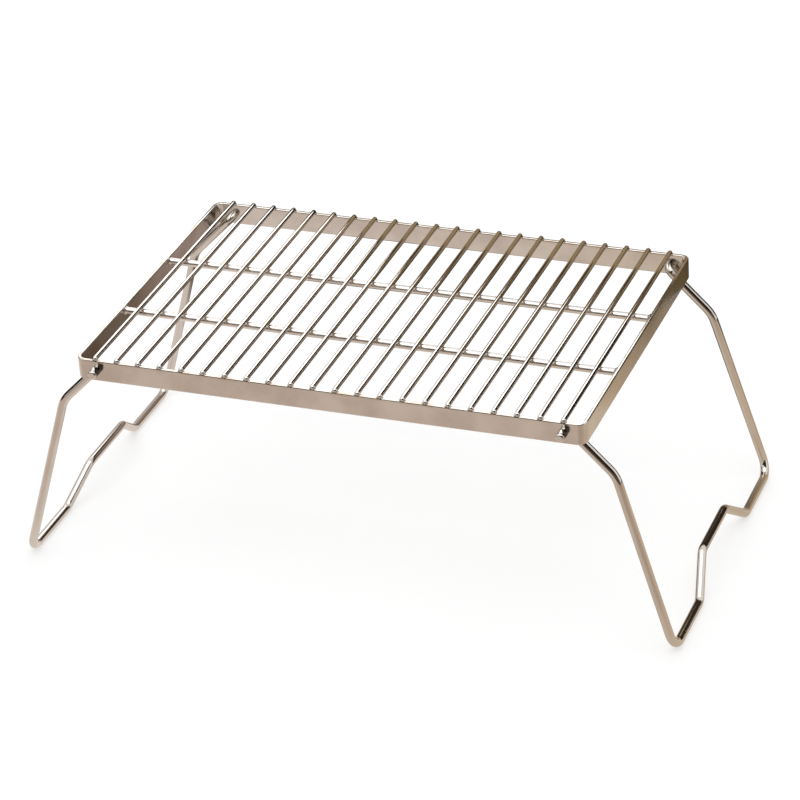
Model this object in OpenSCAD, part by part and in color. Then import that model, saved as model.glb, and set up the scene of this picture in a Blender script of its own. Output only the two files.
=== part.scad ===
// Folding camp grill: a welded grate of round rods in a flat-strip frame, on two folding wire legs.
// Millimetres. The grill stands open on its feet, its long way along X, with the floor at z = 0.

/* [Frame band] */
// Length of the frame over its outer faces
frame_l = 440; // [432:1:470]
// Depth of the frame over its outer faces
frame_w = 298; // [260:1:340]
// Height of the flat strip
band_h = 19; // [17:0.5:22]
// Thickness of the flat strip
band_t = 3; // [2:0.25:4]
// Outer radius of the frame's corners
corner_r = 8; // [6:0.5:10]

/* [Grate] */
// Number of grill rods
rod_count = 22; // [10:1:22]
// Diameter of a grill rod
rod_d = 4.2; // [3:0.1:5]
// Distance between the middles of neighbouring rods
rod_pitch = 19.25; // [12:0.25:19.5]
// Height of the rods' middles above the band's top edge
rod_rise = 1; // [0:0.1:1.2]
// Diameter of the cross bars
bar_d = 6; // [4:0.25:8]
// Distance of the front cross bar from the frame's front face
bar_inset = 94; // [60:1:110]
// Distance between the two cross bars
bar_spacing = 93; // [60:1:120]
// Depth to which the cross bars are fused into the rods and the band
weld_sink = 0.3; // [0.1:0.05:0.6]

/* [Leg pivots] */
// Diameter of the leg wire
leg_d = 7.5; // [6:0.25:8]
// Depth of the pivots below the band's top edge
pin_drop = 9.5; // [8:0.1:10.5]
// Length of a pin outside the band
pin_out = 9; // [8.5:0.25:12]
// Radial play of a pin in its hole
pin_play = 0.1; // [0.05:0.01:0.1]
// Radius of the elbow beside the pin, at the middle of the wire
elbow_r = 6.5; // [5:0.25:7]
// Distance between the middle of the leg wire and the inside of the band
leg_inset = 7.5; // [7.5:0.5:12]
// Gap between an open leg and the lower inner edge of the band on which it comes to rest
stop_gap = 0.35; // [0.3:0.05:1]

/* [Leg loop] */
// Slope of the shoulder, from level, in degrees
shoulder_slope = 45; // [40:1:46]
// Length of the shoulder from the pivot to the knee
shoulder_l = 55.2; // [45:0.2:70]
// Length of the upright from the knee to the foot, in the plane of the loop
upright_l = 159.5; // [120:0.5:170]
// Outward lean of the upright, from plumb, in degrees
splay = 17; // [10:1:22]
// Angle by which the loop widens towards the foot on each side, in degrees
flare = 2; // [0.5:0.5:3]
// Radius of the knee, at the middle of the wire
knee_r = 30; // [15:1:40]
// Radius of the foot's corners, at the middle of the wire
foot_r = 14; // [8:0.5:16]

/* [Foot bar] */
// Height of the raised middle above the feet, in the plane of the loop
arch_rise = 27; // [12:0.5:30]
// Length of the raised middle between its bends
arch_l = 68; // [40:1:70]
// Slope of the arch's sides, in degrees
arch_slope = 36; // [33:1:45]
// Radius of the arch's bends, at the middle of the wire
arch_r = 12; // [8:0.5:16]

/* [Pinched pin ends] */
// Distance of the pinch from the band's outer face
pinch_out = 3.4; // [3.2:0.1:4.5]
// Width across the two ears of the pinch
pinch_w = 11; // [9.5:0.1:11.5]
// Length of the ears along the pin
pinch_l = 5; // [4.5:0.25:5.25]
// Thickness left between the two dents of the pinch
pinch_t = 4; // [3:0.25:5]

/* [Hidden] */
$fn = 48;
steel = [0.78, 0.74, 0.70];
bright_steel = [0.86, 0.86, 0.85];
leg_steel = [0.70, 0.65, 0.60];
// Length by which a cutter runs past the face that it cuts
over = 1;

// Bending leaves the leg wire a hair thicker, and its straight stretches run a little way into the bends
bend_d = leg_d + 0.05;
lap = 0.3;

// Side view of an open leg, worked up from the floor: foot, knee, pivot
foot_z = bend_d / 2;
knee_z = foot_z + upright_l * cos(splay);
pin_z = knee_z + shoulder_l * sin(shoulder_slope);
band_top = pin_z + pin_drop;

// The pivot stands in from the end of the frame so far that the shoulder just clears the band's lower edge
stop_drop = band_h - pin_drop;
stop_run = (leg_d / 2 + stop_gap + stop_drop * cos(shoulder_slope)) / sin(shoulder_slope);
pin_x = frame_l / 2 - band_t - stop_run;
knee_x = pin_x + shoulder_l * cos(shoulder_slope);
foot_x = knee_x + upright_l * sin(splay);

// The rods lie in shallow notches of the band's top edge, a hair tight, and the cross bars hang from them
rod_z = band_top + rod_rise;
notch_d = rod_d - 0.1;
bar_z = rod_z - rod_d / 2 - bar_d / 2 + weld_sink;
bar_front_y = -frame_w / 2 + bar_inset;
bar_rear_y = bar_front_y + bar_spacing;

// Bends of the leg wire: the turn at each corner, and the roll of the wire before it
foot_turn = 90 + flare;
lean_change = 90 - shoulder_slope - splay;
knee_turn = acos(cos(lean_change) * cos(flare));
knee_roll = atan2(sin(lean_change), -sin(flare) * cos(lean_change));
elbow_turn = 90;
elbow_roll = atan2(
    sin(knee_roll) * cos(flare),
    sin(knee_turn) * sin(flare) - cos(knee_turn) * cos(knee_roll) * cos(flare));

// Lengths that the bends take off the corners of the leg wire
arch_cut = arch_r * tan(arch_slope / 2);
foot_cut = foot_r * tan(foot_turn / 2);
knee_cut = knee_r * tan(knee_turn / 2);

// Straight lengths of the leg wire between its bends
knee_y = frame_w / 2 - band_t - leg_inset;
foot_y = knee_y + upright_l * tan(flare);
arch_straight = arch_l / 2 - arch_cut;
arch_side = arch_rise / sin(arch_slope) - 2 * arch_cut;
foot_straight = foot_y - arch_l / 2 - arch_rise / tan(arch_slope) - arch_cut - foot_cut;
upright_straight = upright_l / cos(flare) - foot_cut - knee_cut;
shoulder_straight = shoulder_l - knee_cut - elbow_r;
pin_l = frame_w / 2 + pin_out - knee_y - elbow_r;

// The pinch: its place along the pin, the ears that it squeezes out, and the roll that lays them level
pinch_z = pin_l - pin_out + pinch_out;
ear_t = 0.85 * pinch_t;
pinch_roll = shoulder_slope + 90;

function rod_name(i) = str("grill_rod_", i < 10 ? "0" : "", i);
function rod_x(i) = (i - (rod_count + 1) / 2) * rod_pitch;

// A round bar along Y, centred
module rod_along_y(d, l) {
    rotate([90, 0, 0])
        cylinder(d = d, h = l, center = true);
}

// A rectangle with round corners, centred
module round_rect(l, w, r) {
    square([l - 2 * r, w], center = true);
    square([l, w - 2 * r], center = true);
    for (sx = [-1, 1], sy = [-1, 1])
        translate([sx * (l / 2 - r), sy * (w / 2 - r)])
            circle(r = r);
}

// The flat strip, bent on edge and welded into one ring, with its rod notches and pivot holes
module frame_band() {
    color(steel)
    difference() {
        translate([0, 0, band_top - band_h])
            linear_extrude(band_h)
                difference() {
                    round_rect(frame_l, frame_w, corner_r);
                    round_rect(frame_l - 2 * band_t, frame_w - 2 * band_t, corner_r - band_t);
                }
        for (i = [1 : rod_count])
            translate([rod_x(i), 0, rod_z])
                rod_along_y(notch_d, frame_w + 2 * over);
        for (sx = [-1, 1])
            translate([sx * pin_x, 0, pin_z])
                rod_along_y(leg_d + 2 * pin_play, frame_w + 2 * over);
    }
}

// One rod of the cooking surface, its ends flush with the band's outer faces
module grill_rod(i) {
    color(bright_steel)
    translate([rod_x(i), 0, rod_z])
        rod_along_y(rod_d, frame_w);
}

// A bar under the rods, from one short side of the band to the other
module cross_bar(y) {
    color(bright_steel)
    translate([0, y, bar_z])
        rotate([0, 90, 0])
            cylinder(d = bar_d, h = frame_l - 2 * (band_t - weld_sink), center = true);
}

module cross_bar_front() {
    cross_bar(bar_front_y);
}

module cross_bar_rear() {
    cross_bar(bar_rear_y);
}

// Leg wire: a straight stretch along +Z, let into the bends at both ends, with what follows at its end
module straight(l) {
    translate([0, 0, -lap])
        cylinder(d = leg_d, h = l + 2 * lap);
    translate([0, 0, l])
        children();
}

// Leg wire: a bend from +Z towards +X, with what follows at its end
module bend(r, turn) {
    translate([r, 0, 0])
        rotate([90, 0, 180])
            rotate_extrude(angle = turn)
                translate([r, 0])
                    circle(d = bend_d);
    translate([r, 0, 0])
        rotate([0, turn, 0])
            translate([-r, 0, 0])
                children();
}

// Leg wire: a bend the other way, from +Z towards -X
module bend_back(r, turn) {
    rotate([0, 0, 180])
        bend(r, turn)
            rotate([0, 0, 180])
                children();
}

// The pivot pin, with the pinch that keeps it from pulling out of its hole
module pin() {
    dent_r = 0.4 * leg_d;
    difference() {
        translate([0, 0, -lap])
            cylinder(d = leg_d, h = pin_l + lap);
        translate([0, 0, pinch_z])
            rotate([0, 0, pinch_roll])
                for (side = [-1, 1])
                    translate([0, side * (pinch_t / 2 + dent_r), 0])
                        rotate([0, 90, 0])
                            cylinder(r = dent_r, h = leg_d + 2 * over, center = true);
    }
    translate([0, 0, pinch_z])
        rotate([0, 0, pinch_roll])
            for (side = [-1, 1])
                translate([side * (pinch_w - pinch_l) / 2, 0, 0])
                    rod_along_y(pinch_l, ear_t);
}

// Half of a leg, from the raised middle of the foot bar out to a pin, as the wire is bent
module half_leg() {
    translate([0, 0, arch_straight])
    bend_back(arch_r, arch_slope)
    straight(arch_side)
    bend(arch_r, arch_slope)
    straight(foot_straight)
    bend(foot_r, foot_turn)
    straight(upright_straight)
    rotate([0, 0, knee_roll])
    bend(knee_r, knee_turn)
    straight(shoulder_straight)
    rotate([0, 0, elbow_roll])
    bend(elbow_r, elbow_turn)
    pin();
}

// The whole right leg: the raised middle of its foot bar, with a half on either side
module leg_right() {
    color(leg_steel)
    translate([foot_x, 0, foot_z])
        rotate([0, -splay, 0])
            translate([0, 0, arch_rise]) {
                rod_along_y(leg_d, 2 * (arch_straight + lap));
                for (rear = [0, 1])
                    mirror([0, rear, 0])
                        rotate([90, 0, 0])
                            rotate([0, 0, 90])
                                half_leg();
            }
}

module leg_left() {
    mirror([1, 0, 0])
        leg_right();
}

frame_band();
for (i = [1 : rod_count])
    grill_rod(i);
cross_bar_front();
cross_bar_rear();
leg_left();
leg_right();
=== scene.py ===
"""Looks of the folding camp grill: polished steel wire and strip, in soft studio light."""
from math import acos, atan2, cos, pi, radians, sin, tan

import bmesh
import bpy
from mathutils import Matrix, Vector


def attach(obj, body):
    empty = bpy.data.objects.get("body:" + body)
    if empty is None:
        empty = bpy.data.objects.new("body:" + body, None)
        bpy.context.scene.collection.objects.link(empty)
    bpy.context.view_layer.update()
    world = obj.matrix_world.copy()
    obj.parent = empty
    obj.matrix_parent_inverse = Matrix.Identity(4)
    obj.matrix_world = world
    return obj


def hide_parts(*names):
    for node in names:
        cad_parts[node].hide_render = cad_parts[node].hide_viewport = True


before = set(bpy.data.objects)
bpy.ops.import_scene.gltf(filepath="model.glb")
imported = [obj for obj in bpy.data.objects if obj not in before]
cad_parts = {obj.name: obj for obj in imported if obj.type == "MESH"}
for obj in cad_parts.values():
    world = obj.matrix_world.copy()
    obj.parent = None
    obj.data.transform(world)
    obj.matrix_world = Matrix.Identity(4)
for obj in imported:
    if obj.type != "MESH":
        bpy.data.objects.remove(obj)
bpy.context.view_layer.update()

MM = 0.001
SAME_PLACE = 1e-6


# Sizes, as in the part's source

frame_l, frame_w = 440 * MM, 298 * MM
band_h, band_t, corner_r = 19 * MM, 3 * MM, 8 * MM
rod_count, rod_d, rod_pitch, rod_rise = 22, 4.2 * MM, 19.25 * MM, 1 * MM
notch_d = rod_d - 0.1 * MM
bar_d, bar_inset, bar_spacing = 6 * MM, 94 * MM, 93 * MM
weld_sink = 0.3 * MM
leg_d = 7.5 * MM
bend_d = leg_d + 0.05 * MM
pin_drop, pin_out, pin_play = 9.5 * MM, 9 * MM, 0.1 * MM
elbow_r, leg_inset, stop_gap = 6.5 * MM, 7.5 * MM, 0.35 * MM
shoulder_slope, shoulder_l = radians(45), 55.2 * MM
upright_l, splay, flare = 159.5 * MM, radians(17), radians(2)
knee_r, foot_r = 30 * MM, 14 * MM
arch_rise, arch_l, arch_slope, arch_r = 27 * MM, 68 * MM, radians(36), 12 * MM
pinch_out, pinch_w, pinch_t = 3.4 * MM, 11 * MM, 4 * MM

foot_z = bend_d / 2
knee_z = foot_z + upright_l * cos(splay)
pin_z = knee_z + shoulder_l * sin(shoulder_slope)
band_top = pin_z + pin_drop
stop_drop = band_h - pin_drop
stop_run = (leg_d / 2 + stop_gap + stop_drop * cos(shoulder_slope)) / sin(shoulder_slope)
pin_x = frame_l / 2 - band_t - stop_run
foot_x = pin_x + shoulder_l * cos(shoulder_slope) + upright_l * sin(splay)
knee_y = frame_w / 2 - band_t - leg_inset
foot_y = knee_y + upright_l * tan(flare)
rod_z = band_top + rod_rise
bar_z = rod_z - rod_d / 2 - bar_d / 2 + weld_sink
bar_front_y = -frame_w / 2 + bar_inset
bar_rear_y = bar_front_y + bar_spacing
rod_numbers = range(1, rod_count + 1)


def rod_x(number):
    return (number - (rod_count + 1) / 2) * rod_pitch


# Wire and strip stock

class Stock:
    """A length of wire or strip, drawn out of its cross-section along +Z of its place.

    Its mesh carries where each point was before the bending, and how much of it is weld."""

    def __init__(self, place):
        self.mesh = bmesh.new()
        self.unbent = self.mesh.verts.layers.float_vector.new("unbent")
        self.weld = self.mesh.verts.layers.float.new("weld")
        self.place = place.copy()
        self.drawn = 0.0
        self.section = (1.0, 1.0)
        self.ring, self.rim = [], []

    def start(self):
        """Takes what is in the mesh so far as the first cross-section."""
        self.ring = list(self.mesh.verts)
        self.rim = list(self.mesh.edges)
        home = self.place.inverted()
        for point in self.ring:
            point[self.unbent] = home @ point.co

    def start_round(self, diameter, sides):
        bmesh.ops.create_circle(self.mesh, segments=sides, radius=diameter / 2, matrix=self.place)
        self.start()

    def start_flat(self, thick, high, edge_r):
        section = self.place @ Matrix.Diagonal((thick, high, 1, 1))
        bmesh.ops.create_grid(self.mesh, x_segments=1, y_segments=1, size=0.5, matrix=section)
        bmesh.ops.bevel(self.mesh, geom=self.mesh.verts[:], offset=edge_r, offset_type="OFFSET",
                        segments=4, profile=0.5, affect="VERTICES", material=-1)
        bmesh.ops.delete(self.mesh, geom=self.mesh.faces[:], context="FACES_ONLY")
        self.start()

    def carry(self, move, length):
        """Draws the stock on to where the move takes its last cross-section."""
        made = bmesh.ops.extrude_edge_only(self.mesh, edges=self.rim)["geom"]
        self.ring = [part for part in made if isinstance(part, bmesh.types.BMVert)]
        ends = set(self.ring)
        self.rim = [part for part in made if isinstance(part, bmesh.types.BMEdge)
                    and part.verts[0] in ends and part.verts[1] in ends]
        bmesh.ops.transform(self.mesh, matrix=move, verts=self.ring)
        self.place = move @ self.place
        self.drawn += length
        for point in self.ring:
            point[self.unbent].z = self.drawn

    def straight(self, length):
        self.carry(Matrix.Translation(self.place.to_3x3() @ Vector((0, 0, length))), length)

    def run(self, length):
        """A long straight stretch: a ring close to each end keeps its sheen true between bends."""
        guard = min(0.5 * MM, length / 4)
        for part in (guard, length - 2 * guard, guard):
            self.straight(part)

    def bend(self, radius, turn, steps):
        """Bends from +Z towards +X of the place, or towards -X where the turn is negative."""
        side = 1 if turn > 0 else -1
        centre = self.place @ Vector((side * radius, 0, 0))
        axis = self.place.to_3x3() @ Vector((0, 1, 0))
        move = (Matrix.Translation(centre) @ Matrix.Rotation(turn / steps, 4, axis)
                @ Matrix.Translation(-centre))
        for _ in range(steps):
            self.carry(move, radius * abs(turn) / steps)

    def roll(self, angle):
        self.place = self.place @ Matrix.Rotation(angle, 4, "Z")

    def squeeze(self, wide, thick):
        """Gives the last cross-section this width and thickness, as shares of the round one's."""
        change = Vector((wide / self.section[0], thick / self.section[1], 1))
        bmesh.ops.scale(self.mesh, vec=change, space=self.place.inverted(), verts=self.ring)
        self.section = (wide, thick)

    def end(self, rounding, radius, steps):
        """Rounds off the end's rim and closes it."""
        wide, thick = self.section
        for step in range(steps):
            near, far = (pi / 2 * (step + k) / steps for k in (0, 1))
            self.straight(rounding * (sin(far) - sin(near)))
            left = 1 - rounding / radius * (1 - cos(far))
            self.squeeze(wide * left, thick * left)
        bmesh.ops.contextual_create(self.mesh, geom=self.rim)

    def mirrored(self, axis):
        """The stock so far was half of the piece, from its middle: adds the other half."""
        everything = self.mesh.verts[:] + self.mesh.edges[:] + self.mesh.faces[:]
        bmesh.ops.mirror(self.mesh, geom=everything, matrix=Matrix.Identity(4),
                         merge_dist=SAME_PLACE, axis=axis)

    def nugget(self, middle, half_sizes):
        """A weld nugget, half sunk into the pieces that it joins."""
        place = Matrix.Translation(middle) @ Matrix.Diagonal((*half_sizes, 1))
        made = bmesh.ops.create_icosphere(self.mesh, subdivisions=2, radius=1, matrix=place)
        for point in made["verts"]:
            point[self.unbent] = point.co
            point[self.weld] = 1.0


def finish_mesh(name, mesh_in_work):
    bmesh.ops.remove_doubles(mesh_in_work, verts=mesh_in_work.verts[:], dist=SAME_PLACE)
    bmesh.ops.recalc_face_normals(mesh_in_work, faces=mesh_in_work.faces[:])
    mesh = bpy.data.meshes.new(name)
    mesh_in_work.to_mesh(mesh)
    mesh_in_work.free()
    mesh.shade_smooth()
    return mesh


def finish_piece(name, mesh, material, body, node):
    """Puts a piece into the scene: its finish, the body it rides on, and the CAD node it shows."""
    piece = bpy.data.objects.new(name, mesh)
    bpy.context.scene.collection.objects.link(piece)
    mesh.materials.clear()
    mesh.materials.append(material)
    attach(piece, body)
    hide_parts(node)
    return piece


# Finishes

class Socket:
    """A socket of a material's nodes. Arithmetic on it adds Math nodes."""

    def __init__(self, tree, plug=None):
        self.tree, self.plug = tree, plug

    def add(self, kind, settings=None, inputs=None, out=0):
        """Adds a node: its type, its settings, then the values or links of its sockets."""
        node = self.tree.nodes.new(kind)
        for name, value in (settings or {}).items():
            setattr(node, name, value)
        for name, value in (inputs or {}).items():
            if isinstance(value, Socket):
                self.tree.links.new(value.plug, node.inputs[name])
            else:
                node.inputs[name].default_value = value
        return Socket(self.tree, node.outputs[out])

    def shown_by(self, output):
        """Makes this shader the one that the output shows."""
        self.tree.links.new(self.plug, output.inputs["Surface"])

    def maths(self, operation, *values):
        return self.add("ShaderNodeMath", {"operation": operation}, dict(enumerate(values)))

    def __add__(self, other):
        return self.maths("ADD", self, other)

    def __radd__(self, other):
        return self.maths("ADD", other, self)

    def __sub__(self, other):
        return self.maths("SUBTRACT", self, other)

    def __rsub__(self, other):
        return self.maths("SUBTRACT", other, self)

    def __mul__(self, other):
        return self.maths("MULTIPLY", self, other)

    def __rmul__(self, other):
        return self.maths("MULTIPLY", other, self)

    def __abs__(self):
        return self.maths("ABSOLUTE", self)

    def or_more(self, other):
        """The larger of the two."""
        return self.maths("MAXIMUM", self, other)

    def clear_of(self, near, far):
        """0 where this is under near, 1 where it is over far."""
        return self.add("ShaderNodeMapRange", {"interpolation_type": "SMOOTHSTEP"},
                        {"Value": self, "From Min": near, "From Max": far})

    def places(self):
        """Where each point is, in metres: X across, Y towards the back, Z up."""
        return self.add("ShaderNodeTexCoord", out="Object")

    def carried(self, name, out):
        """What the mesh carries under this name."""
        return self.add("ShaderNodeAttribute", {"attribute_name": name}, out=out)

    def part(self, letter):
        """The X, Y or Z of a vector."""
        return self.add("ShaderNodeSeparateXYZ", {}, {0: self}, out=letter)

    def length(self):
        return self.add("ShaderNodeVectorMath", {"operation": "LENGTH"}, {0: self}, out="Value")

    def stretched(self, x, y, z):
        return self.add("ShaderNodeVectorMath", {"operation": "MULTIPLY"}, {0: self, 1: (x, y, z)})

    def noise(self, scale=1, detail=3, roughness=0.5):
        return self.add("ShaderNodeTexNoise", {},
                        {"Vector": self, "Scale": scale, "Detail": detail, "Roughness": roughness})

    def tint(self, none, full):
        """A colour between the two, by this share."""
        none, full = (c if isinstance(c, Socket) else (*c, 1) for c in (none, full))
        return self.add("ShaderNodeMix", {"data_type": "RGBA"}, {0: self, 6: none, 7: full}, out=2)


def new_finish(name):
    """An empty material, its start for sockets, and its output."""
    material = bpy.data.materials.new(name)
    material.use_nodes = True
    tree = material.node_tree
    tree.nodes.clear()
    return material, Socket(tree), tree.nodes.new("ShaderNodeOutputMaterial")


straw = (0.47, 0.36, 0.22)
# Near black of the painted dark reflection beside the leg pins.
painted_reflection_black = (0.03, 0.026, 0.022)
weld_grey = (0.30, 0.26, 0.225)
strip_tones = ((0.60, 0.555, 0.51), (0.72, 0.68, 0.64))
grate_tones = ((0.66, 0.62, 0.58), (0.74, 0.71, 0.68))
leg_tones = ((0.62, 0.575, 0.53), (0.70, 0.66, 0.62))
# The middle share sets how dark the painted reflection beside the leg pins is.
heat_share, painted_reflection_share, weld_share = 0.55, 0.92, 0.85


def strip_heat(coords):
    """Patches along the strip's top edge, from the welds of the rods."""
    near_top = coords.part("Z").clear_of(band_top - 3.5 * MM, band_top + 0.5 * MM)
    return heat_share * near_top * coords.noise(scale=70).clear_of(0.45, 0.7)


def rod_heat(coords):
    """Patches where the rods are welded to the bars and to the back of the band."""
    deep = coords.part("Y")
    near_weld = 0.0
    for weld_y in (bar_front_y, bar_rear_y, frame_w / 2):
        near_weld = near_weld + (1 - abs(deep - weld_y).clear_of(2 * MM, 8 * MM))
    return heat_share * near_weld * coords.noise(scale=90).clear_of(0.35, 0.65)


def pin_painted_reflection(coords):
    """Painted dark reflection on both sides of the pinched pins, their top middle left bright."""
    pinch_y = frame_w / 2 + pinch_out
    beside = abs(abs(coords.part("X")) - pin_x).clear_of(0.7 * MM, 2.0 * MM)
    pinched = 1 - abs(abs(coords.part("Y")) - pinch_y).clear_of(2.2 * MM, 3.6 * MM)
    return painted_reflection_share * beside * pinched


def polished_steel(start, output, tones, cloud, lines, lines_deep, rough, heat_tint_and_painted_dark, heat_tint_and_painted_dark_colour):
    """Steel of two tones that a cloud mixes, with fine lines, grey rippled welds, and the mark it
    is given: a heat tint on strip and rods, a painted dark reflection beside the leg pins.
    """
    coords = start.places()
    weld = start.carried("weld", "Fac")
    shade = cloud.tint(*tones)
    # Heat tint on the strip and rods; on the legs, a painted dark reflection beside the pinched
    # pins.
    if heat_tint_and_painted_dark:
        shade = heat_tint_and_painted_dark(coords).tint(shade, heat_tint_and_painted_dark_colour)
    colour = (weld * weld_share).tint(shade, weld_grey)

    smear_rough, lines_rough, weld_rough = 0.07, 0.05, 0.16
    smear = coords.noise(scale=55, detail=4, roughness=0.6)
    roughness = rough + smear_rough * smear + lines_rough * lines + weld_rough * weld

    ripple_deep = 0.25 * MM
    ripple = coords.noise(scale=900, roughness=0.6)
    height = lines * lines_deep + ripple * weld * ripple_deep
    bump = start.add("ShaderNodeBump", {}, {"Height": height, "Distance": 1.0, "Strength": 1.0})
    steel = start.add("ShaderNodeBsdfPrincipled", {}, {
        "Base Color": colour, "Metallic": 1.0, "Roughness": roughness, "Normal": bump})
    steel.shown_by(output)


def strip_finish(name):
    """Polished flat strip: faint lines along it, clouds from buffing, heat at the welds."""
    material, start, output = new_finish(name)
    coords = start.places()
    cloud = coords.noise(scale=28, roughness=0.55).clear_of(0.3, 0.7)
    lines = coords.stretched(14, 14, 1500).noise(roughness=0.6)
    polished_steel(start, output, strip_tones, cloud, lines, 0.012 * MM, 0.10, strip_heat, straw)
    return material


def wire_finish(name, tones, rough, heat_tint_and_painted_dark=None, heat_tint_and_painted_dark_colour=None):
    """Polished wire: clouds, and fine lines from the drawing die, that follow its bends."""
    material, start, output = new_finish(name)
    along = start.carried("unbent", "Vector")
    cloud = along.stretched(60, 60, 22).noise(roughness=0.55).clear_of(0.3, 0.7)
    lines = along.stretched(1300, 1300, 9).noise(detail=2, roughness=0.6)
    polished_steel(start, output, tones, cloud, lines, 0.008 * MM, rough, heat_tint_and_painted_dark, heat_tint_and_painted_dark_colour)
    return material


polished_strip = strip_finish("polished_strip")
polished_rod = wire_finish("polished_rod", grate_tones, 0.03, rod_heat, straw)
polished_bar = wire_finish("polished_bar", grate_tones, 0.04)
# The legs' steel carries a painted dark reflection beside its pinched pins.
polished_leg = wire_finish("polished_leg", leg_tones, 0.04, pin_painted_reflection, painted_reflection_black)


# The frame band

def frame_band_mesh():
    """The strip from its seam once round the frame, bent on edge at the corners."""
    seam_x, edge_r, last = 6 * MM, 1.1 * MM, 0.5 * MM
    towards_left = Matrix(((0, 0, -1, 0), (-1, 0, 0, 0), (0, 1, 0, 0), (0, 0, 0, 1)))
    seam = Matrix.Translation((seam_x, frame_w / 2 - band_t / 2, band_top - band_h / 2))
    strip = Stock(seam @ towards_left)
    strip.start_flat(band_t, band_h, edge_r)
    long_half = frame_l / 2 - corner_r
    short = frame_w - 2 * corner_r
    for length in (long_half + seam_x, short, 2 * long_half, short):
        strip.straight(length)
        strip.bend(corner_r - band_t / 2, pi / 2, steps=12)
    strip.straight(long_half - seam_x - last)
    strip.straight(last)
    return finish_mesh("frame_band_bent", strip.mesh)


def hole_cutters():
    """The rod notches and the pivot holes, through the front and the back side alike."""
    past_faces = 2 * MM
    cuts = [(rod_x(number), rod_z, notch_d / 2, 32) for number in rod_numbers]
    cuts += [(side * pin_x, pin_z, leg_d / 2 + pin_play, 48) for side in (-1, 1)]
    cutters = bmesh.new()
    for x, z, radius, sides in cuts:
        place = Matrix.Translation((x, 0, z)) @ Matrix.Rotation(pi / 2, 4, "X")
        bmesh.ops.create_cone(cutters, cap_ends=True, segments=sides, radius1=radius,
                              radius2=radius, depth=frame_w + 2 * past_faces, matrix=place)
    return finish_mesh("hole_cutters", cutters)


def cut_from(mesh, cutters):
    """The mesh with the cutters taken out of it."""
    blank = bpy.data.objects.new("blank", mesh)
    cutter = bpy.data.objects.new("cutter", cutters)
    for helper in (blank, cutter):
        bpy.context.scene.collection.objects.link(helper)
    cut = blank.modifiers.new("cut", "BOOLEAN")
    cut.operation, cut.object, cut.solver = "DIFFERENCE", cutter, "EXACT"
    depsgraph = bpy.context.evaluated_depsgraph_get()
    made = bpy.data.meshes.new_from_object(blank.evaluated_get(depsgraph))
    for helper in (blank, cutter):
        bpy.data.objects.remove(helper)
    return made


band_mesh = cut_from(frame_band_mesh(), hole_cutters())
band_mesh.name = "frame_band_cut"
sharp_from = radians(38)
band_mesh.set_sharp_from_angle(angle=sharp_from)
band = finish_piece("formed_frame_band", band_mesh, polished_strip,
                    "grate", "frame_band")
flats = band.modifiers.new("true flats", "WEIGHTED_NORMAL")
flats.weight, flats.keep_sharp = 100, True


# The grate's rods and bars

def grill_rod_mesh(number):
    """One rod from its middle out to both ends, with the welds that hold it in its notches."""
    rounding = 2.0 * MM
    rod = Stock(Matrix.Translation((rod_x(number), 0, rod_z)) @ Matrix.Rotation(-pi / 2, 4, "X"))
    rod.start_round(rod_d, sides=24)
    rod.run(frame_w / 2 - rounding)
    rod.end(rounding, rod_d / 2, steps=8)
    rod.mirrored("Y")

    weld_size = (1.0 * MM, 1.35 * MM, 0.75 * MM)
    weld_out, weld_drop = 0.44 * rod_d, 0.15 * MM
    weld_y = frame_w / 2 - band_t / 2
    for side in (-1, 1):
        for edge in (-1, 1):
            middle = (rod_x(number) + edge * weld_out, side * weld_y, band_top - weld_drop)
            rod.nugget(middle, weld_size)
    return finish_mesh("rod", rod.mesh)


def cross_bar_mesh(bar_y):
    """One bar from its middle out to both ends, flared by its weld, with a nugget at each rod."""
    face = frame_l / 2 - band_t
    flare_l, full_flare, weld_per_flare, rounding = 2.6 * MM, 1.42, 5, 0.05 * MM
    flare_rings = ((1.7, 1.05), (1.0, 1.15), (0.5, 1.28), (0.1, full_flare), (-0.25, full_flare))
    bar = Stock(Matrix.Translation((0, bar_y, bar_z)) @ Matrix.Rotation(pi / 2, 4, "Y"))
    bar.start_round(bar_d, sides=32)
    bar.run(face - flare_l)
    for short_of_face, wide in flare_rings:
        bar.straight(face - short_of_face * MM - bar.drawn)
        bar.squeeze(wide, wide)
        for point in bar.ring:
            point[bar.weld] = min(1.0, (wide - 1) * weld_per_flare)
    bar.end(rounding, full_flare * bar_d / 2, steps=1)
    bar.mirrored("X")

    weld_size, weld_rise = (1.5 * MM, 1.9 * MM, 0.5 * MM), 0.1 * MM
    for number in rod_numbers:
        bar.nugget((rod_x(number), bar_y, rod_z - rod_d / 2 + weld_rise), weld_size)
    return finish_mesh("bar", bar.mesh)


for number in rod_numbers:
    finish_piece(f"polished_rod_{number:02d}", grill_rod_mesh(number), polished_rod,
                 "grate", f"grill_rod_{number:02d}")
finish_piece("polished_bar_front", cross_bar_mesh(bar_front_y), polished_bar,
             "grate", "cross_bar_front")
finish_piece("polished_bar_rear", cross_bar_mesh(bar_rear_y), polished_bar,
             "grate", "cross_bar_rear")


# The legs

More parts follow.
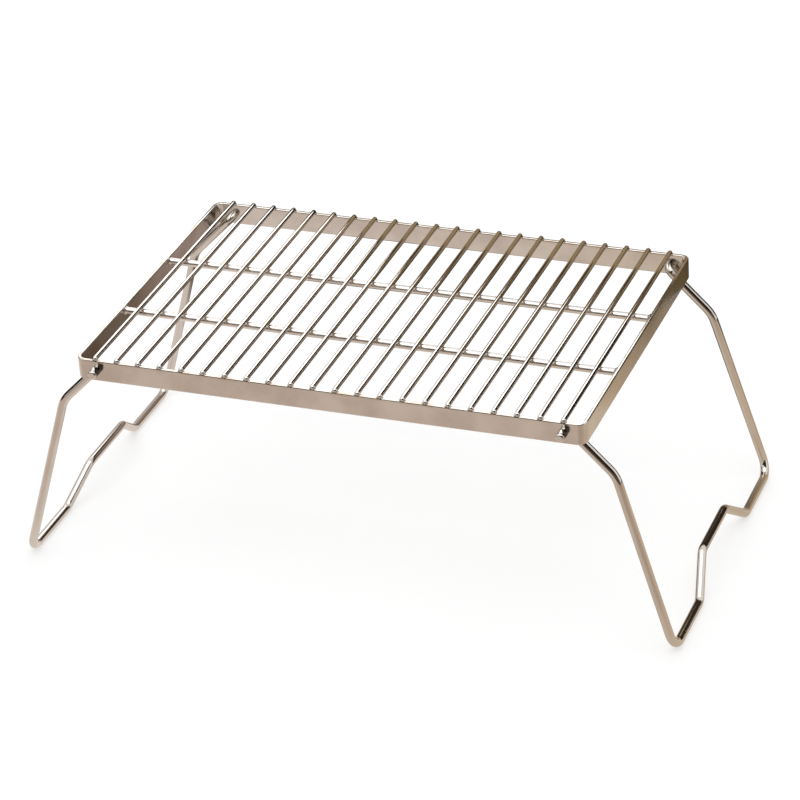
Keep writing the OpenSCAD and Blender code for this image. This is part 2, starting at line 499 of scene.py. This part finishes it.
def leg_mesh(side):
    """One leg's wire, from the raised middle of its foot bar out to a pin, and the same behind."""
    lean_change = pi / 2 - shoulder_slope - splay
    knee_turn = acos(cos(lean_change) * cos(flare))
    knee_roll = atan2(sin(lean_change), -sin(flare) * cos(lean_change))
    elbow_roll = atan2(sin(knee_roll) * cos(flare),
                       sin(knee_turn) * sin(flare) - cos(knee_turn) * cos(knee_roll) * cos(flare))
    foot_turn = pi / 2 + flare
    arch_cut = arch_r * tan(arch_slope / 2)
    foot_cut = foot_r * tan(foot_turn / 2)
    knee_cut = knee_r * tan(knee_turn / 2)
    pin_l = frame_w / 2 + pin_out - knee_y - elbow_r

    wire = Stock(Matrix.Translation((foot_x, 0, foot_z)) @ Matrix.Rotation(-splay, 4, "Y")
                 @ Matrix.Translation((0, 0, arch_rise)) @ Matrix.Rotation(pi / 2, 4, "X")
                 @ Matrix.Rotation(pi / 2, 4, "Z"))
    wire.start_round(leg_d, sides=36)
    wire.run(arch_l / 2 - arch_cut)
    wire.bend(arch_r, -arch_slope, steps=8)
    wire.run(arch_rise / sin(arch_slope) - 2 * arch_cut)
    wire.bend(arch_r, arch_slope, steps=8)
    wire.run(foot_y - arch_l / 2 - arch_rise / tan(arch_slope) - arch_cut - foot_cut)
    wire.bend(foot_r, foot_turn, steps=20)
    wire.run(upright_l / cos(flare) - foot_cut - knee_cut)
    wire.roll(knee_roll)
    wire.bend(knee_r, knee_turn, steps=10)
    wire.run(shoulder_l - knee_cut - elbow_r)
    wire.roll(elbow_roll)
    wire.bend(elbow_r, pi / 2, steps=20)
    wire.roll(shoulder_slope + pi / 2)

    pinch_half, pinch_steps, rounding = 2.9 * MM, 14, 1.6 * MM
    wire.run(pin_l - pin_out + pinch_out - pinch_half)
    for step in range(1, pinch_steps + 1):
        wire.straight(2 * pinch_half / pinch_steps)
        bite = cos(pi / 2 * (2 * step / pinch_steps - 1)) ** 2
        wire.squeeze(1 + (pinch_w / leg_d - 1) * bite, 1 - (1 - pinch_t / leg_d) * bite)
    wire.straight(pin_out - pinch_out - pinch_half - rounding)
    wire.end(rounding, leg_d / 2, steps=7)
    wire.mirrored("Y")
    if side < 0:
        turned_over = Matrix.Diagonal((-1, 1, 1, 1))
        bmesh.ops.transform(wire.mesh, matrix=turned_over, verts=wire.mesh.verts[:])
    return finish_mesh("leg", wire.mesh)


finish_piece("bent_leg_left", leg_mesh(-1), polished_leg, "left_leg", "leg_left")
finish_piece("bent_leg_right", leg_mesh(1), polished_leg, "right_leg", "leg_right")


# The studio

def stage_sheet(name, corners, material, mirrored_only):
    """A flat sheet of the studio. A mirrored-only one shows in the steel, not to the camera."""
    made = bmesh.new()
    bmesh.ops.contextual_create(made, geom=[made.verts.new(corner) for corner in corners])
    mesh = bpy.data.meshes.new(name)
    made.to_mesh(mesh)
    made.free()
    mesh.materials.append(material)
    sheet = bpy.data.objects.new(name, mesh)
    bpy.context.scene.collection.objects.link(sheet)
    if mirrored_only:
        sheet.visible_camera = sheet.visible_shadow = False
        sheet.visible_diffuse = sheet.visible_transmission = False


def level_sheet(name, left, right, front, rear, height, material, mirrored_only):
    """A sheet that lies level."""
    corners = ((left, front, height), (right, front, height),
               (right, rear, height), (left, rear, height))
    stage_sheet(name, corners, material, mirrored_only)


def mirrored_wall(name, end_a, end_b, bottom, top, material):
    """A mirrored-only sheet that stands between two places on the floor."""
    corners = ((*end_a, bottom), (*end_b, bottom), (*end_b, top), (*end_a, top))
    stage_sheet(name, corners, material, True)


def mirrored_board(name, back, outline, material):
    """A mirrored-only sheet that faces the front, with this outline seen from there."""
    stage_sheet(name, [(x, back, z) for x, z in outline], material, True)


def emission(start, colour):
    return start.add("ShaderNodeEmission", {}, {"Color": colour, "Strength": 1.0})


def glow(name, colour):
    material, start, output = new_finish(name)
    emission(start, (*colour, 1)).shown_by(output)
    return material


def floor_finish():
    """White paper with a soft shadow: part of its white is its own, and far off all of it."""
    material, start, output = new_finish("white_paper_floor")
    coords = start.places()
    tone = coords.noise(scale=3, detail=2).tint((0.48, 0.48, 0.48), (0.52, 0.52, 0.52))
    paper = start.add("ShaderNodeBsdfDiffuse", {}, {"Color": tone})
    own_white = coords.length().clear_of(1.0, 2.5).tint((0.55, 0.55, 0.55), (1.0, 1.0, 1.0))
    both = start.add("ShaderNodeAddShader", {}, {0: paper, 1: emission(start, own_white)})
    both.shown_by(output)
    return material


def mirrored_table_finish():
    """What the steel mirrors below it: a warm table, lighter under the grill, with the grill's
    shade across it behind, and the dark room past its edges."""
    material, start, output = new_finish("warm_table")
    coords = start.places()
    across, back = coords.part("X"), coords.part("Y")
    under = across.clear_of(-0.15, 0.10).tint((0.88, 0.80, 0.745), (0.73, 0.64, 0.53))
    left = back.clear_of(-0.32, -0.12).tint((0.69, 0.58, 0.505), under)
    right = back.clear_of(-0.40, -0.08).tint((0.54, 0.43, 0.345), (0.69, 0.57, 0.44))
    open_table = across.clear_of(0.18, 0.40).tint(left, right)

    shade_x, shade_y, slant_x, slant_y = -0.08, 0.19, 0.563, 0.826
    past_shade = (back - shade_y) * slant_y - (across - shade_x) * slant_x
    in_shade = past_shade.clear_of(-0.24, -0.06) * across.clear_of(-0.22, -0.13)
    shaded = past_shade.clear_of(0.04, 0.30).tint((0.13, 0.085, 0.06), (0.40, 0.30, 0.25))
    table = in_shade.tint(open_table, shaded)

    past_rear = back.clear_of(0.52, 0.62)
    past_left = (0 - across).clear_of(1.1, 1.6)
    past_front = (0 - back).clear_of(0.85, 1.0)
    off_table = past_rear.or_more(past_left).or_more(past_front)
    emission(start, off_table.tint(table, (0.03, 0.022, 0.016))).shown_by(output)
    return material


def board_finish():
    """What the steel mirrors close behind the grill: a dark board, streaked along its top, brown
    towards the table, with a lit part at the right and a shaded one at the left."""
    material, start, output = new_finish("streaked_board")
    coords = start.places()
    across, high = coords.part("X"), coords.part("Z")
    streaks = coords.stretched(45, 0, 3).noise(roughness=0.6).clear_of(0.42, 0.64)
    streaked = streaks.tint((0.20, 0.14, 0.08), (0.46, 0.34, 0.20))
    upper = high.clear_of(0.29, 0.315).tint((0.03, 0.022, 0.015), streaked)
    middle = high.clear_of(0.05, 0.13).tint((0.17, 0.13, 0.10), upper)

    at_right = across.clear_of(0.20, 0.25) * (1 - high.clear_of(0.14, 0.20))
    lit = high.clear_of(0.0, 0.15).tint((0.58, 0.45, 0.32), (0.12, 0.083, 0.04))
    at_left = (1 - across.clear_of(-0.10, -0.08)) * (1 - high.clear_of(0.16, 0.20))
    shaded = high.clear_of(0.0, 0.14).tint((0.21, 0.14, 0.09), (0.40, 0.31, 0.28))
    emission(start, at_left.tint(at_right.tint(middle, lit), shaded)).shown_by(output)
    return material


dark_room = glow("dark_room", (0.022, 0.016, 0.012))
brown_wall = glow("brown_wall", (0.27, 0.195, 0.14))
warm_wall = glow("warm_wall", (0.12, 0.095, 0.08))
brown_strip = glow("brown_strip", (0.36, 0.26, 0.145))
grey_board = glow("grey_board", (0.62, 0.59, 0.575))

floor_end, table_end, table_rear, table_high = 6, 5.9, 1.7, 1 * MM
level_sheet("white_floor", -floor_end, floor_end, -floor_end, floor_end, 0, floor_finish(), False)
level_sheet("table_in_the_steel", -table_end, table_end, -table_end, table_rear, table_high,
            mirrored_table_finish(), True)

left_corner, right_corner, far_back = (-3.0, table_rear), (2.0, table_rear), 2.2
mirrored_wall("dark_wall_behind", left_corner, right_corner, 0, 0.40, dark_room)
mirrored_wall("dark_wall_behind_right", (0.24, far_back), (1.98, far_back), 0, 2.05, dark_room)
mirrored_wall("brown_wall_behind_left", (-2.4, far_back), (-1.05, far_back), 0, 1.0, brown_wall)
mirrored_wall("dark_wall_left", (-3.0, -1.1), left_corner, 0, 0.8, dark_room)

card_right, card_middle, card_left, card_low = (1.97, -0.35), (0.28, -1.98), (-1.7, -2.4), 0.46
mirrored_wall("dark_card_beside_camera", card_right, card_middle, card_low, 2.2, dark_room)
mirrored_wall("dark_card_in_front", card_middle, card_left, 0.30, 1.25, dark_room)
mirrored_wall("warm_wall_beside_camera", card_right, card_middle, 0, card_low, warm_wall)

mirrored_board("dark_board_behind", 0.22, (
    (-0.30, 0), (0.45, 0), (0.45, 0.165), (0.27, 0.175), (0.26, 0.325),
    (-0.08, 0.325), (-0.10, 0.26), (-0.30, 0.26)), board_finish())
mirrored_board("brown_strip_behind", 0.17, (
    (-0.10, 0.213), (0.30, 0.213), (0.30, 0.245), (-0.10, 0.245)), brown_strip)
mirrored_board("grey_board_behind", 0.25, (
    (-0.65, 0), (-0.30, 0), (-0.30, 0.22), (-0.65, 0.285)), grey_board)


def world_light():
    """White to the camera and in the steel, and a soft even fill otherwise."""
    fill = 0.55
    world = bpy.data.worlds.new("studio")
    bpy.context.scene.world = world
    world.use_nodes = True
    tree = world.node_tree
    tree.nodes.clear()
    start = Socket(tree)
    path = tree.nodes.new("ShaderNodeLightPath")
    seen = Socket(tree, path.outputs["Is Camera Ray"])
    for name in ("Is Glossy Ray", "Is Transmission Ray"):
        seen = seen.or_more(Socket(tree, path.outputs[name]))
    strength = seen + (1 - seen) * fill
    sky = start.add("ShaderNodeBackground", {}, {"Color": (1, 1, 1, 1), "Strength": strength})
    sky.shown_by(tree.nodes.new("ShaderNodeOutputWorld"))


def soft_lamp(name, place, wide, high):
    """A soft box: a plain lamp that shines evenly from its whole face, towards the grill."""
    radiance, target = 1.5, Vector((0, 0, 0.2))
    lamp = bpy.data.lights.new(name, "AREA")
    lamp.shape, lamp.size, lamp.size_y = "RECTANGLE", wide, high
    lamp.energy = radiance * pi * wide * high
    holder = bpy.data.objects.new(name, lamp)
    holder.location = place
    holder.rotation_euler = (target - Vector(place)).to_track_quat("-Z", "Y").to_euler()
    bpy.context.scene.collection.objects.link(holder)


world_light()
soft_lamp("soft_box_behind", (-0.6, 2.6, 1.35), wide=4.2, high=1.7)
soft_lamp("soft_box_above", (0, -0.6, 2.6), wide=3.0, high=2.0)


def photo_camera():
    """The photograph's view. Its middle is a little to the right of the grill's, and lower."""
    photo_px, sensor = 800, 36
    focal_px, aim_right_px, aim_down_px = 3350.2, 5.565, 94.905
    distance = 2.805
    turn, tilt, roll = radians(22.394), radians(27.963), radians(3.878)
    upwards = Vector((0, 0, 1))
    back = Vector((sin(turn) * cos(tilt), -cos(turn) * cos(tilt), sin(tilt)))
    right = (-back).cross(upwards).normalized()
    up = right.cross(-back)
    ahead = (-back + right * (aim_right_px / focal_px) - up * (aim_down_px / focal_px)).normalized()
    right = ahead.cross(upwards).normalized()
    up = right.cross(ahead)
    right, up = right * cos(roll) - up * sin(roll), right * sin(roll) + up * cos(roll)

    lens = bpy.data.cameras.new("photo_camera")
    lens.sensor_fit, lens.sensor_width = "HORIZONTAL", sensor
    lens.lens = focal_px / photo_px * sensor
    lens.clip_start, lens.clip_end = 0.1, 50
    camera = bpy.data.objects.new("photo_camera", lens)
    turned = Matrix((right, up, -ahead)).transposed().to_4x4()
    camera.matrix_world = Matrix.Translation(Vector((0, 0, band_top)) + back * distance) @ turned
    bpy.context.scene.collection.objects.link(camera)
    bpy.context.scene.camera = camera


photo_camera()
bpy.context.scene.view_settings.view_transform = "Standard"
